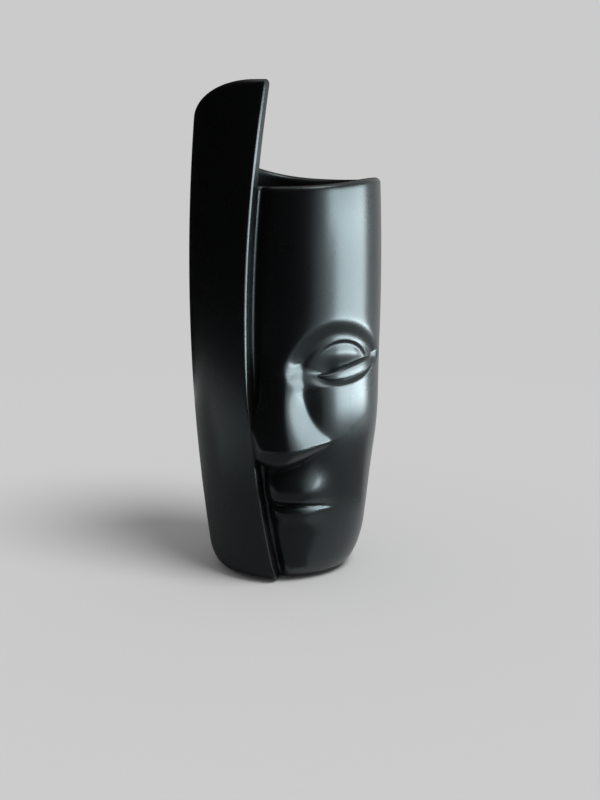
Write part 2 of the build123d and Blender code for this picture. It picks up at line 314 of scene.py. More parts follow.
def socket_share(s, z):
    """1 inside the socket, fading to 0 at the nose, the temple and the cheek"""
    shift = nose_side_shift * ease((nose_side_height - z) / nose_side_drop)
    nose_side = ease((s + nose_side_reach - shift) / (nose_side_fade - shift))
    temple_side = ease((temple_reach - s) / temple_fade)
    foot = socket_foot_height + socket_foot_rise * (s - socket_foot_centre) ** 2
    foot = foot - inner_foot_drop * inner_share(s)
    foot_fade = socket_foot_fade + (inner_foot_fade - socket_foot_fade) * inner_share(s)
    return nose_side * temple_side * ease((z - foot) / foot_fade)


print("socket floor at its middle:", float(socket_floor(np.array(brow_centre), np.array(nose_root_height))))

# %% [markdown]
# The eyeball shows in an almond opening in the socket's floor. It has one highest point and falls away
# from it on all sides, and it has no pupil.

# %% Eyeball
ball_depth = 3.9
ball_height = 143.6
ball_inner_width = 41.0
ball_outer_width = 47.0
ball_inner_slope = 0.13
ball_inner_softness = 4.0
ball_outer_fall = 0.003
ball_tilt = 0.15
ball_slope = 0.36
ball_corner_slope = 0.26
ball_corner_width = 40.0
ball_corner_fade = 14.0
ball_crown = 4.3
ball_deepest = 8.0
opening_height = 149.2
opening_centre = 42.0
opening_inner_fall = 0.025
opening_outer_fall = 0.015
opening_edge = 4.0
opening_inner_edge = 9.0
opening_corner = 16.0
opening_corner_fade = 22.0
opening_end = 74.0
opening_end_fade = 16.0
opening_softness = 0.3


def eyeball(s, z):
    """height of the eyeball"""
    outer = past(s, ball_outer_width)
    above = z - ball_height + ball_tilt * outer
    crown = -ball_depth - ball_inner_slope * higher(ball_inner_width - s, 0.0, ball_inner_softness)
    crown = crown - ball_outer_fall * outer**2
    corner = ease((ball_corner_width - s) / ball_corner_fade)
    slope = ball_slope + (ball_corner_slope - ball_slope) * corner
    fall = slope * (np.sqrt(above**2 + ball_crown**2) - ball_crown)
    return higher(crown - fall, -ball_deepest, opening_softness)


def opening_share(s, z):
    """1 inside the almond opening, fading to 0 at its upper edge and its two corners"""
    arch_fall = np.where(s < opening_centre, opening_inner_fall, opening_outer_fall)
    arch = opening_height - arch_fall * (s - opening_centre) ** 2
    edge = opening_edge + (opening_inner_edge - opening_edge) * inner_share(s)
    corners = ease((s - opening_corner) / opening_corner_fade) * ease((opening_end - s) / opening_end_fade)
    return ease((arch - z) / edge + 0.5) * corners


print("eyeball near its highest:", float(eyeball(np.array(ball_outer_width), np.array(ball_height))))

# %% [markdown]
# The lower lid is a roll of clay along the foot of the opening, thin at the nose and thick at the temple.
# Its section is a fourth power, flat on top with steep sides, so that a clean step is left below the
# eyeball.

# %% Lower lid and the whole eye
lid_height = 128.4
lid_centre = 38.0
lid_bend = 8.0
lid_inner_rise = 0.002
lid_outer_slope = 0.15
lid_depth = 2.3
lid_mid_width = 47.0
lid_inner_fall = 0.0055
lid_outer_lift = 0.03
lid_end_width = 66.0
lid_end_fall = 0.02
lid_thin = 2.0
lid_thick = 5.0
lid_thin_width = 26.0
lid_thick_span = 24.0
lid_roll = 3.0
lid_power = 4
lid_softness = 0.03


def lower_lid(s, z):
    """height of the lower lid"""
    line = lid_height + lid_outer_slope * higher(s - lid_centre, 0.0, lid_bend)
    line = line + lid_inner_rise * past(-s, -lid_centre) ** 2
    crest = -lid_depth - lid_inner_fall * past(-s, -lid_mid_width) ** 2
    crest = crest - lid_end_fall * past(s, lid_end_width) ** 2
    crest = crest + lid_outer_lift * np.clip(s - lid_mid_width, 0.0, lid_end_width - lid_mid_width)
    thickness = lid_thin + (lid_thick - lid_thin) * ease((s - lid_thin_width) / lid_thick_span)
    return crest - lid_roll * ((z - line) / thickness) ** lid_power


def eye(s, z):
    """height of the socket with the eyeball and the lower lid in it"""
    floor = socket_floor(s, z)
    floor = floor + (lower(eyeball(s, z), floor, opening_softness) - floor) * opening_share(s, z)
    return higher(floor * socket_share(s, z), lower_lid(s, z), lid_softness)


print("lid below the barrel at its middle:", float(eye(np.array(lid_centre), np.array(lid_height))))

# %% [markdown]
# The lips are two humps either side of a narrow groove that sags at its ends. They sit on a broad
# swelling, and the chin is one more hump near the foot.

# %% Mouth and chin
mouth_height = 51.5
mouth_sag = 0.0016
upper_lip_rise = 6.0
upper_lip_height = 8.0
upper_lip_top_fade = 12.0
upper_lip_under_fade = 6.5
upper_lip_half_width = 29.0
lower_lip_rise = 3.6
lower_lip_drop = 5.5
lower_lip_fade = 5.5
lower_lip_half_width = 26.0
groove_depth = 1.1
groove_fade = 1.3
groove_half_width = 37.0
muzzle_rise = 0.8
muzzle_lift = 3.5
muzzle_fade = 18.0
muzzle_half_width = 33.0
chin_height = 13.0
chin_rise = 3.2
chin_fade = 13.0
chin_half_width = 26.0
flat_power = 4
square_power = 8


def mouth(s, z):
    """rise of the lips, the swelling under them and the chin"""
    line = mouth_height - mouth_sag * s**2
    above = z - line - upper_lip_height
    below = z - line + lower_lip_drop
    top_side = hump(above, upper_lip_top_fade)
    under_side = hump(above, upper_lip_under_fade, flat_power)
    bulge = np.where(above > 0.0, top_side, under_side)
    upper = upper_lip_rise * bulge * hump(s, upper_lip_half_width, flat_power)
    under = lower_lip_rise * hump(below, lower_lip_fade) * hump(s, lower_lip_half_width, flat_power)
    groove = groove_depth * hump(z - line, groove_fade) * hump(s, groove_half_width, square_power)
    muzzle_height = mouth_height + muzzle_lift
    muzzle = muzzle_rise * hump(z - muzzle_height, muzzle_fade) * hump(s, muzzle_half_width, flat_power)
    chin = chin_rise * hump(z - chin_height, chin_fade) * hump(s, chin_half_width)
    return upper + under - groove + muzzle + chin


print("upper lip rise:", float(mouth(np.array(0.0), np.array(mouth_height + upper_lip_height))))

# %% [markdown]
# The cheek is a broad swelling with a hollow along the foot of the nose. All features together are the
# relief.

# %% Cheek and the whole relief
cheek_rise = 2.0
cheek_centre = 55.0
cheek_half_width = 60.0
cheek_height = 98.0
cheek_half_height = 26.0
cheek_fade_turn = 40.0
foot_hollow_depth = 1.5
foot_hollow_centre = 18.0
foot_hollow_half_width = 9.0
foot_hollow_height = 108.0
foot_hollow_half_height = 22.0
mouth_tuck = 2.0
mouth_fade = 14.0


def relief(turn, z):
    """rise of the whole face above the barrel"""
    s = turn * degree
    cheek = cheek_rise * hump(s - cheek_centre, cheek_half_width)
    cheek = cheek * hump(z - cheek_height, cheek_half_height) * ease((seam_turn - turn) / cheek_fade_turn)
    hollow = foot_hollow_depth * hump(s - foot_hollow_centre, foot_hollow_half_width)
    hollow = hollow * hump(z - foot_hollow_height, foot_hollow_half_height)
    lips = mouth(s, z) * ease((beside_edge(turn, z) + mouth_tuck) / mouth_fade)
    return nose(s, z) + eye(s, z) + cheek - hollow + lips


print("relief on the cheek:", float(relief(np.array(cheek_centre / degree), np.array(cheek_height))))

# %% [markdown]
# Beside the leaf's edge the face stays below the leaf. A finger was drawn along the joint, so the clay
# rises to the leaf in a narrow cove and is pressed in beside it. The inside of the wall is thumbed out
# behind the nose and swells behind the socket, which keeps the wall even.

# %% Outside and inside of the face wall
beside_slope = 1.2
beside_softness = 1.0
cove_radius = 2.6
press_depth = 1.8
press_centre = 2.4
press_half_width = 4.0
press_end_rise = 5.0
press_fade = 4.0
hollow_depth = 8.0
hollow_half_width = 16.0
hollow_height = 98.0
hollow_half_height = 22.0
hollow_start = 14.0
backing_depth = 5.6
backing_centre = 29.0
backing_height = 138.0
backing_half_width = 30.0
backing_half_height = 19.0


def outside(turn, z):
    """radius of the outside, with the face on it"""
    past_edge = beside_edge(turn, z)
    form = lower(relief(turn, z), lap_step + beside_slope * past_edge, beside_softness)
    cove = cove_radius * circle_drop(np.clip(1.0 - past_edge / cove_radius, 0.0, 1.0))
    trough = cove - press_depth * hump(past_edge - press_centre, press_half_width)
    form = form + trough * ease((press_end_rise - form) / press_fade)
    return body(turn, z) + np.where(turn > seam_turn, 0.0, form)


def inside(turn, z):
    """radius of the inside"""
    s = turn * degree
    hollow = hump(s, hollow_half_width) * hump(z - hollow_height, hollow_half_height)
    hollow = hollow * ease(beside_edge(turn, z) / hollow_start)
    backing = hump(s - backing_centre, backing_half_width) * hump(z - backing_height, backing_half_height)
    return body(turn, z) - wall + hollow_depth * hollow - backing_depth * backing


tip_turn = np.array(0.0)
tip_level = np.array(nose_tip_height)
tip_wall = outside(tip_turn, tip_level) - inside(tip_turn, tip_level)
print("wall at the nose's tip in mm:", round(float(tip_wall), 2))

# %% [markdown]
# ## Walls as two sheets
# A wall of clay is an outer and an inner sheet of small quads. Where a lip is round, both sheets are
# pinched towards the middle of the wall on a half circle until they share their last row. Bevelling a
# sharp edge would do the same, but a bevel can't run cleanly round the leaf's tip, where two round lips
# meet.
#
# Two values are kept on the points for the glaze: how near a lip the point is, and how far the clay is
# only washed with glaze, which it is on the inner sheet from a little below the rim. Faces that meet at
# more than the crease angle keep a sharp edge, as at the cut ends and above the lower lid, and all others
# are smooth.

# %% Make a piece from points
crease_angle = 32.0


def quads(index):
    """four-cornered faces of a grid of point numbers"""
    corners = [index[:-1, :-1], index[:-1, 1:], index[1:, 1:], index[1:, :-1]]
    return np.stack(corners, axis=-1).reshape(-1, 4)


def add_object(name, data):
    """a new object in the scene"""
    thing = bpy.data.objects.new(name, data)
    scene.collection.objects.link(thing)
    return thing


def add_piece(name, points, faces):
    """a piece of the vase"""
    mesh = bpy.data.meshes.new(name)
    mesh.from_pydata(points.tolist(), [], [list(face) for face in faces])
    mesh.shade_smooth()
    mesh.set_sharp_from_angle(angle=radians(crease_angle))
    piece = add_object(name, mesh)
    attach(piece, "root")
    return piece


def set_values(piece, name, values):
    """one value per point, for the materials to read"""
    layer = piece.data.attributes.new(name, "FLOAT", "POINT")
    layer.data.foreach_set("value", np.asarray(values, dtype=float))


print("faces in a grid of 3 by 3 points:", len(quads(np.arange(9).reshape(3, 3))))

# %% [markdown]
# The two sheets are numbered so that a shared point has one number in both. A quad that loses a corner
# there becomes a triangle, and the open borders at the foot and the ends are closed with a strip of
# quads.

# %% Make a wall from two sheets
lip_rows = 7
lip_wear = 4.0
wash_start = 4.0
wash_fade = 9.0
lip_roll = np.linspace(0.0, 0.5 * pi, lip_rows + 1)[1:]


def wall_piece(name, outer, inner, shared, near_lip, washed):
    """a piece from two sheets of points, one point where they are shared, closed at its open borders"""
    rows, columns = shared.shape
    out_index = np.arange(rows * columns).reshape(rows, columns)
    in_index = np.where(shared, out_index, 0)
    in_index[~shared] = rows * columns + np.arange(np.count_nonzero(~shared))
    points = np.concatenate([outer.reshape(-1, 3), inner[~shared]])
    faces = [quads(out_index), quads(in_index)[:, ::-1]]
    foot = (out_index[0], in_index[0])
    first_end = (out_index[::-1, 0], in_index[::-1, 0])
    last_end = (out_index[:, -1], in_index[:, -1])
    for out_row, in_row in (foot, first_end, last_end):
        if np.count_nonzero(out_row != in_row) > 1:
            faces.append(quads(np.stack([in_row, out_row])))
    faces = [[i for k, i in enumerate(face) if i != face[k - 1]] for face in np.concatenate(faces)]
    piece = add_piece(name, points, [face for face in faces if len(face) > 2])
    set_values(piece, "near_lip", np.concatenate([near_lip.ravel(), near_lip[~shared]]))
    set_values(piece, "washed", np.concatenate([0.0 * near_lip.ravel(), washed[~shared]]))
    return piece


def wash(levels):
    """1 where the inside is only washed with glaze"""
    return ease((rim_height - wash_start - levels) / wash_fade)


def even_steps(bands):
    """steps through bands of (start, end, number of steps), each stopping short of its end"""
    return np.concatenate([np.linspace(start, end, count, endpoint=False) for start, end, count in bands])


print("rows in a round lip:", len(lip_roll))

# %% [markdown]
# ## The face wall
# The wall starts as a plain tongue hidden under the leaf and steps out to the face where the leaf's edge
# lies on it. The rows and columns are closest over the eye, nose and mouth, where the light changes
# fastest. Above the brow the rows are lifted more and more, until the last ones follow the swelling rim.

# %% Face wall
chin_top = 22.0
eye_low = 124.0
eye_high = 150.0
brow_top = 166.0
wall_top = rim_height - half_wall
level_bands = [(slab_top, chin_top, 13), (chin_top, eye_low, 185)]
level_bands += [(eye_low, eye_high, 116), (eye_high, brow_top, 29)]
forehead_rows = 42
joint_share = 0.024
face_share = 0.6
share_bands = [(0.0, joint_share, 11), (joint_share, face_share, 175)]
side_columns = 40
tongue_columns = 6
tongue_tuck = 0.4
tongue_thinning = 0.8

levels = np.concatenate([even_steps(level_bands), np.linspace(brow_top, wall_top, forehead_rows)])
levels = np.concatenate([levels, rim_height - half_wall * (1.0 - np.sin(lip_roll))])[:, None]
pinch = np.ones_like(levels)
pinch[-lip_rows:, 0] = np.cos(lip_roll)
start = leaf_edge(levels)
shares = np.concatenate([even_steps(share_bands), np.linspace(face_share, 1.0, side_columns)])[None, :]
turns = start + (seam_turn - start) * shares
tongue = hidden_end_turn + (start - hidden_end_turn) * np.linspace(0.0, 1.0, tongue_columns)[None, :]
under_leaf = body(full_turn + tongue, levels) - lap_step - tongue_tuck
raised = np.clip((levels - brow_top) / (wall_top - brow_top), 0.0, 1.0)
heights = levels + raised * (face_rim(turns) - rim_height)
outer = np.concatenate([under_leaf, outside(turns, heights)], axis=1)
inner = np.concatenate([under_leaf - wall + tongue_thinning, inside(turns, heights)], axis=1)
levels = np.concatenate([levels + raised * (face_rim(tongue) - rim_height), heights], axis=1)
turns = np.concatenate([tongue, turns], axis=1)
middle = 0.5 * (outer + inner)
outer = place(middle + (outer - middle) * pinch, turns, levels)
inner = place(middle - (middle - inner) * pinch, turns, levels)
shared = np.zeros(turns.shape, dtype=bool)
shared[-1] = True
near_lip = ease(1.0 - (face_rim(turns) - levels) / lip_wear)
face_wall = wall_piece("vase_face_wall", outer, inner, shared, near_lip, wash(levels))
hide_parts("face_wall")
print("face wall quads:", len(face_wall.data.polygons))

# %% [markdown]
# ## The leaf
# The leaf runs from the seam at the back round to the front. Its rim climbs in one sweep to the tip, and
# its front edge bows away from the face and comes back to it at both ends. The rim is fully round. Near
# the tip the square of points is drawn in to a quarter disc, so that the corner is round as well.
#
# The front edge isn't a plain half circle: it slopes down to the face like a soft bevel, deep where the
# face lies low and shallow where the nose comes up to the leaf, so that there the two run into each
# other.

# %% Front edge of the leaf
bevel_along = 1.1
draft_along = 0.8
bevel_depth = 2.0
end_depth = 5.7
bevel_squareness = 1.45
bevel_rows = 9
draft_rows = 4
least_step = 0.12
bevel_power = 2.0 / bevel_squareness
end_along = bevel_along + draft_along
bend = np.linspace(0.0, 0.5 * pi, bevel_rows + 1)[1:]
draft = np.linspace(0.0, 1.0, draft_rows + 1)[1:]
bevel_reach = bevel_along * np.sin(bend) ** bevel_power
bevel_drop = bevel_depth * (1.0 - np.cos(bend) ** bevel_power)
end_reach = np.concatenate([bevel_reach, bevel_along + draft_along * draft]) / end_along
end_drop = np.concatenate([bevel_drop, bevel_depth + (end_depth - bevel_depth) * draft])


def step_share(z):
    """1 where the face lies low beside the leaf, less where it comes up to the leaf"""
    return higher(1.0 - relief(leaf_edge(z), z) / lap_step, least_step, least_step)


print("columns in the leaf's front edge:", len(end_reach))

# %% [markdown]
# The leaf's points are a grid, up the wall and along it, with extra rows for the round rim and extra
# columns for the front edge. Both sheets use the same grid, at different depths in the wall.

# %% Leaf
leaf_rows = 150
leaf_columns = 130
settling_rounds = 6
almost_all = 1.0 - 1e-6


def drawn_in(reach, other):
    """a side of the unit square, drawn in so that the square becomes a disc"""
    return reach * np.sqrt(1.0 - 0.5 * other**2)


up = np.concatenate([np.linspace(0.0, 1.0, leaf_rows), np.ones(lip_rows)])[:, None]
top_roll = np.concatenate([np.zeros(leaf_rows), np.sin(lip_roll)])[:, None]
along = np.concatenate([np.linspace(0.0, 1.0, leaf_columns), np.ones(len(end_reach))])[None, :]
front_roll = np.concatenate([np.zeros(leaf_columns), end_reach])[None, :]
front_drop = np.concatenate([np.zeros(leaf_columns), end_drop])[None, :]
top_in = half_wall * (1.0 - drawn_in(top_roll, front_roll))
levels = slab_top + (leaf_tip_height - slab_top) * up + 0.0 * along
# The rim's height depends on the turn and the edge's turn on the height, so both settle in a few rounds.
for _ in range(settling_rounds):
    front = full_turn + leaf_edge(levels)
    end_turn = end_along * step_share(levels) / degree
    at_front = front - end_turn * (1.0 - drawn_in(front_roll, top_roll))
    turns = np.where(front_roll > 0.0, at_front, seam_turn + (front - end_turn - seam_turn) * along)
    top = leaf_rim(turns)
    levels = np.where(top_roll > 0.0, top - top_in, slab_top + (top - half_wall - slab_top) * up)
top_pinch = np.sqrt(1.0 - top_roll**2)
outer_depth = front_drop * step_share(levels)
inner_depth = wall - (wall - end_depth * step_share(levels)) * circle_drop(front_roll)
middle = body(turns, levels) - half_wall
outer = place(middle - (outer_depth - half_wall) * top_pinch, turns, levels)
inner = place(middle - (inner_depth - half_wall) * top_pinch, turns, levels)
shared = (top_roll > almost_all) | (front_roll > almost_all)
to_front = -beside_edge(turns - full_turn, levels)
near_lip = ease(1.0 - np.minimum(leaf_rim(turns) - levels, to_front) / lip_wear)
wrap_leaf = wall_piece("vase_leaf", outer, inner, shared, near_lip, wash(levels))
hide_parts("wrap_leaf")
print("leaf quads:", len(wrap_leaf.data.polygons))

# %% [markdown]
# ## The floor slab
# The walls stand on a slab whose rim carries on their outside down to the foot. Its outline is the
# scroll's, with the leaf's bevelled edge as a step at the front, so the joint between slab and walls
# can't be seen. Slab and felt are both stacks of closed rings, which are filled at the bottom and the top
# with a fan of triangles.

# %% Floor slab
slab_rows = 12
slab_face_share = 0.25
slab_face_steps = 129
slab_back_columns = 150
step_points = 3


def ring_piece(name, rings, low_centre, high_centre):
    """a piece from a stack of closed rings of points, lowest first"""
    rows, columns, _ = rings.shape
    index = np.arange(rows * columns).reshape(rows, columns)
    index = np.concatenate([index, index[:, :1]], axis=1)
    points = np.concatenate([rings.reshape(-1, 3), [low_centre, high_centre]])
    faces = quads(index).tolist()
    faces += [[len(points) - 2, b, a] for a, b in zip(index[0][:-1], index[0][1:])]
    faces += [[len(points) - 1, a, b] for a, b in zip(index[-1][:-1], index[-1][1:])]
    return add_piece(name, points, faces)


climb = 1.0 - np.cos(np.linspace(0.0, 0.5 * pi, slab_rows))
levels = (slab_bottom + (slab_top - slab_bottom) * climb)[:, None]
start = leaf_edge(levels)
back_shares = np.linspace(slab_face_share, 1.0, slab_back_columns)
shares = np.concatenate([even_steps([(0.0, slab_face_share, slab_face_steps)]), back_shares])[None, :]
end_turn = end_along * step_share(levels) / degree
turns = start + (full_turn - end_turn) * shares
radius = outside(turns, levels)
front_turns = start + full_turn - end_turn * (1.0 - end_reach[None, :])
front_radius = body(front_turns, levels) - end_drop[None, :] * step_share(levels)
step = np.linspace(0.0, 1.0, step_points + 2)[None, 1:-1]
step_turns = front_turns[:, -1:] - full_turn + 0.0 * step
step_radius = front_radius[:, -1:] + (radius[:, :1] - front_radius[:, -1:]) * step
turns = np.concatenate([turns, front_turns, step_turns], axis=1)
radius = np.concatenate([radius, front_radius, step_radius], axis=1)
slab_low = [0.0, 0.0, slab_bottom * millimetre]
slab_high = [0.0, 0.0, slab_top * millimetre]
floor_slab = ring_piece("vase_floor_slab", place(radius, turns, levels), slab_low, slab_high)
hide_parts("floor_slab")
print("slab faces:", len(floor_slab.data.polygons))

# %% [markdown]
# ## The felt disc
# A disc of pressed felt keeps the foot from scratching a table. A plain cylinder would look like plastic,
# so its edge is rounded over and its outline wanders a little, as scissors leave it. Two waves of 7 and
# 17 to the round do that, and they are drawn in so far that the disc never grows past its solid.

# %% Felt disc
felt_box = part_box("base_felt")
felt_radius = felt_box[1][0]
felt_top = felt_box[1][2]
felt_columns = 160
wander_draw = 0.22
broad_wave = 0.12
broad_count = 7.0
small_wave = 0.09
small_count = 17.0
small_shift = 1.0
wander_power = 4
# Shares of the radius and of the thickness along the lower half of the disc's section, from the middle out
lower_section = [(0.2, 0.0), (0.6, 0.0), (0.9, 0.0), (0.985, 0.0), (0.995, 0.12), (1.0, 0.35)]
upper_section = [(share, 1.0 - height) for share, height in reversed(lower_section)]

around = np.linspace(0.0, 2.0 * pi, felt_columns, endpoint=False)
wander = broad_wave * np.sin(broad_count * around) + small_wave * np.sin(small_count * around + small_shift)
wander = (wander - wander_draw) * millimetre
rings = []
for share, height in lower_section + upper_section:
    reach = felt_radius * share + wander * share**wander_power
    sides = [reach * np.cos(around), reach * np.sin(around), 0.0 * around + felt_top * height]
    rings.append(np.stack(sides, axis=-1))
base_felt = ring_piece("felt_disc", np.array(rings), [0.0, 0.0, 0.0], [0.0, 0.0, felt_top])
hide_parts("base_felt")
print("felt radius and thickness in metres:", felt_radius, felt_top)

# %% [markdown]
# ## Fired surface, a shared effect
# Glaze and bare clay both come out of the kiln slightly uneven: broad patches where the coat is thicker
# or thinner, and a fine skin like orange peel. Both materials use that, so it is one node group. It takes
# three colours, three roughness values and two scales, and puts out a colour, a roughness and a height
# for bump. The thin colour shows where the coat runs off a lip, and the wash colour and roughness where
# clay is only washed with glaze.

# %% Fired surface group
thin_gain = 1.3
patch_height = 3.0
colour_kind = "NodeSocketColor"
value_kind = "NodeSocketFloat"


def fill_inputs(tree, node, inputs):
    """links sockets and sets values on a node's inputs"""
    for key, value in inputs.items():
        if isinstance(value, bpy.types.NodeSocket):
            tree.links.new(value, node.inputs[key])
        else:
            node.inputs[key].default_value = value


def add_node(tree, kind, inputs=None, **settings):
    """a new node with its settings and inputs"""
    node = tree.nodes.new(kind)
    for key, value in settings.items():
        setattr(node, key, value)
    fill_inputs(tree, node, inputs or {})
    return node


fired = bpy.data.node_groups.new("Fired surface", "ShaderNodeTree")
group_inputs = {"Full Colour": colour_kind, "Thin Colour": colour_kind}
group_inputs |= {"Smooth": value_kind, "Rough": value_kind}
group_inputs |= {"Patch Scale": value_kind, "Skin Scale": value_kind}
group_inputs |= {"Wash Colour": colour_kind, "Wash Roughness": value_kind}
group_outputs = {"Colour": colour_kind, "Roughness": value_kind, "Height": value_kind}
for name, kind in group_inputs.items():
    fired.interface.new_socket(name, in_out="INPUT", socket_type=kind)
for name, kind in group_outputs.items():
    fired.interface.new_socket(name, in_out="OUTPUT", socket_type=kind)
given = fired.nodes.new("NodeGroupInput").outputs
where = add_node(fired, "ShaderNodeTexCoord").outputs["Object"]
patch_inputs = {"Vector": where, "Scale": given["Patch Scale"], "Detail": 3.0}
patches = add_node(fired, "ShaderNodeTexNoise", patch_inputs).outputs["Fac"]
skin_inputs = {"Vector": where, "Scale": given["Skin Scale"], "Detail": 2.0}
skin = add_node(fired, "ShaderNodeTexNoise", skin_inputs).outputs["Fac"]
lip = add_node(fired, "ShaderNodeAttribute", attribute_name="near_lip").outputs["Fac"]
patchy = add_node(fired, "ShaderNodeMath", {0: lip, 1: patches}, operation="MULTIPLY").outputs[0]
thin = add_node(fired, "ShaderNodeMath", {0: patchy, 1: thin_gain}, operation="MULTIPLY", use_clamp=True)
tint_ends = {"Factor": thin.outputs[0], "A": given["Full Colour"], "B": given["Thin Colour"]}
tint = add_node(fired, "ShaderNodeMix", tint_ends, data_type="RGBA").outputs["Result"]
gloss_ends = {"Value": patches, "From Min": 0.3, "From Max": 0.7}
gloss_ends |= {"To Min": given["Smooth"], "To Max": given["Rough"]}
gloss = add_node(fired, "ShaderNodeMapRange", gloss_ends).outputs["Result"]
uneven = {0: patches, 1: patch_height, 2: skin}
height = add_node(fired, "ShaderNodeMath", uneven, operation="MULTIPLY_ADD").outputs[0]
washed = add_node(fired, "ShaderNodeAttribute", attribute_name="washed").outputs["Fac"]
colour_ends = {"Factor": washed, "A": tint, "B": given["Wash Colour"]}
colour = add_node(fired, "ShaderNodeMix", colour_ends, data_type="RGBA").outputs["Result"]
rough_ends = {"Value": washed, "To Min": gloss, "To Max": given["Wash Roughness"]}
roughness = add_node(fired, "ShaderNodeMapRange", rough_ends).outputs["Result"]
add_node(fired, "NodeGroupOutput", {"Colour": colour, "Roughness": roughness, "Height": height})
print("fired surface nodes:", len(fired.nodes))

# %% [markdown]
# ## Satin black glaze
# The glaze is so dark that almost all that is seen of it is reflection: soft, bluish white where a light
# falls in, and deep black elsewhere. A black base with a moderate roughness gives that, and its index of
# refraction is a little above glass, as in glazes coloured by metal oxides. Where it runs thin it turns
# brown-black.

# %% Glaze material
wash_colour = (0.014, 0.012, 0.011, 1.0)
bump_strength = 0.5


def new_material(name):
    """a material with its node tree and its shader"""
    material = bpy.data.materials.new(name)
    material.use_nodes = True
    return material, material.node_tree, material.node_tree.nodes["Principled BSDF"]


def fired_material(name, values, ior, bump_distance):
    """a material with the fired surface on it"""
    material, tree, shader = new_material(name)
    effect = add_node(tree, "ShaderNodeGroup", node_tree=fired)
    fill_inputs(tree, effect, values)
    bump_inputs = {"Height": effect.outputs["Height"], "Distance": bump_distance, "Strength": bump_strength}
    bump = add_node(tree, "ShaderNodeBump", bump_inputs).outputs["Normal"]
    looks = {"Base Color": effect.outputs["Colour"], "Roughness": effect.outputs["Roughness"]}
    fill_inputs(tree, shader, looks | {"Normal": bump, "IOR": ior})
    return material


glaze_values = {"Full Colour": (0.0032, 0.0032, 0.0034, 1.0), "Thin Colour": (0.011, 0.0085, 0.007, 1.0)}
glaze_values |= {"Smooth": 0.25, "Rough": 0.3, "Patch Scale": 22.0, "Skin Scale": 420.0}
glaze_values |= {"Wash Colour": wash_colour, "Wash Roughness": 0.5}
glaze = fired_material("Satin black glaze", glaze_values, ior=1.6, bump_distance=0.00003)
glaze.node_tree.nodes["Principled BSDF"].inputs["Specular Tint"].default_value = (0.8, 0.95, 1.0, 1.0)
for piece in (face_wall, wrap_leaf, floor_slab):
    piece.data.materials.append(glaze)
print("glazed pieces:", face_wall.name, wrap_leaf.name, floor_slab.name)

# %% [markdown]
# ## Seams inside
# Where walls and floor meet inside, clay was pressed into the corners. It got only a wash of glaze, so it
# is browner and rougher than the outside, like the walls' insides. The seams keep their CAD shape and
# only get this finish.

# %% Washed clay material
clay_values = {"Full Colour": wash_colour, "Thin Colour": (0.03, 0.024, 0.019, 1.0)}
clay_values |= {"Smooth": 0.42, "Rough": 0.6, "Patch Scale": 60.0, "Skin Scale": 700.0}
washed_clay = fired_material("Washed clay", clay_values, ior=1.5, bump_distance=0.0002)
for node in ("floor_seam", "lap_seam", "back_seam"):
    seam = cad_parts[node]
    seam.data.materials.clear()
    seam.data.materials.append(washed_clay)
print("washed clay on the three seams")

# %% [markdown]
# ## Felt
# Felt is a mat of crossed fibres. Two stretched noises at right angles make short fibres running both ways,
# and a sheen catches the light on them. Their colour is lighter where the mat stands high and darker in the
# gaps, which is painted shade between the fibres.

# %% Felt material
fibre_across = 2600.0
fibre_along = 420.0
fibre_deep = 900.0
felt, tree, shader = new_material("Black felt")
where = add_node(tree, "ShaderNodeTexCoord").outputs["Object"]
fibres = []
for stretch in ((fibre_across, fibre_along, fibre_deep), (fibre_along, fibre_across, fibre_deep)):
    laid = add_node(tree, "ShaderNodeMapping", {"Vector": where, "Scale": stretch}).outputs[0]
    fibres.append(add_node(tree, "ShaderNodeTexNoise", {"Vector": laid, "Scale": 1.0}).outputs["Fac"])
mat_height = add_node(tree, "ShaderNodeMath", {0: fibres[0], 1: fibres[1]}, operation="MAXIMUM").outputs[0]
# The colour follows the mat's height: darker in the gaps, painted shade between the fibres
shade_ends = {"Value": mat_height, "From Min": 0.4, "From Max": 0.7}
painted_gap_shade = add_node(tree, "ShaderNodeMapRange", shade_ends).outputs[0]
fibre_ends = {"Factor": painted_gap_shade, "A": (0.008, 0.008, 0.009, 1.0), "B": (0.035, 0.035, 0.038, 1.0)}
fibre_colour_and_shade = add_node(tree, "ShaderNodeMix", data_type="RGBA")
fill_inputs(tree, fibre_colour_and_shade, fibre_ends)
nap = add_node(tree, "ShaderNodeBump", {"Height": mat_height, "Distance": 0.0004, "Strength": 0.8})
felt_looks = {"Base Color": fibre_colour_and_shade.outputs["Result"], "Normal": nap.outputs["Normal"]}
fill_inputs(tree, shader, felt_looks | {"Roughness": 0.95, "Sheen Weight": 0.3})
base_felt.data.materials.append(felt)
print("felt on", base_felt.name)

# %% [markdown]
# ## The set
# The vase stands on a pale sweep with no visible horizon. Close by, the floor is a real pale surface that
# takes the vase's shadow. Further out it fades into a plain pale glow, the same as the world's, for the
# camera and for reflections, so no line shows where the floor ends.

# %% Floor
pale = (0.597, 0.597, 0.597, 1.0)
paper_colour = (0.6, 0.6, 0.6, 1.0)
floor_reach = 9.0
fade_start = 0.3
fade_end = 0.8


def seen_directly_or_mirrored(tree):
    """1 for the camera, for reflections and for what is seen through glass"""
    rays = add_node(tree, "ShaderNodeLightPath").outputs
    first = {0: rays["Is Camera Ray"], 1: rays["Is Glossy Ray"]}
    mirrored = add_node(tree, "ShaderNodeMath", first, operation="ADD").outputs[0]
    through = {0: mirrored, 1: rays["Is Transmission Ray"]}
    return add_node(tree, "ShaderNodeMath", through, operation="ADD", use_clamp=True).outputs[0]


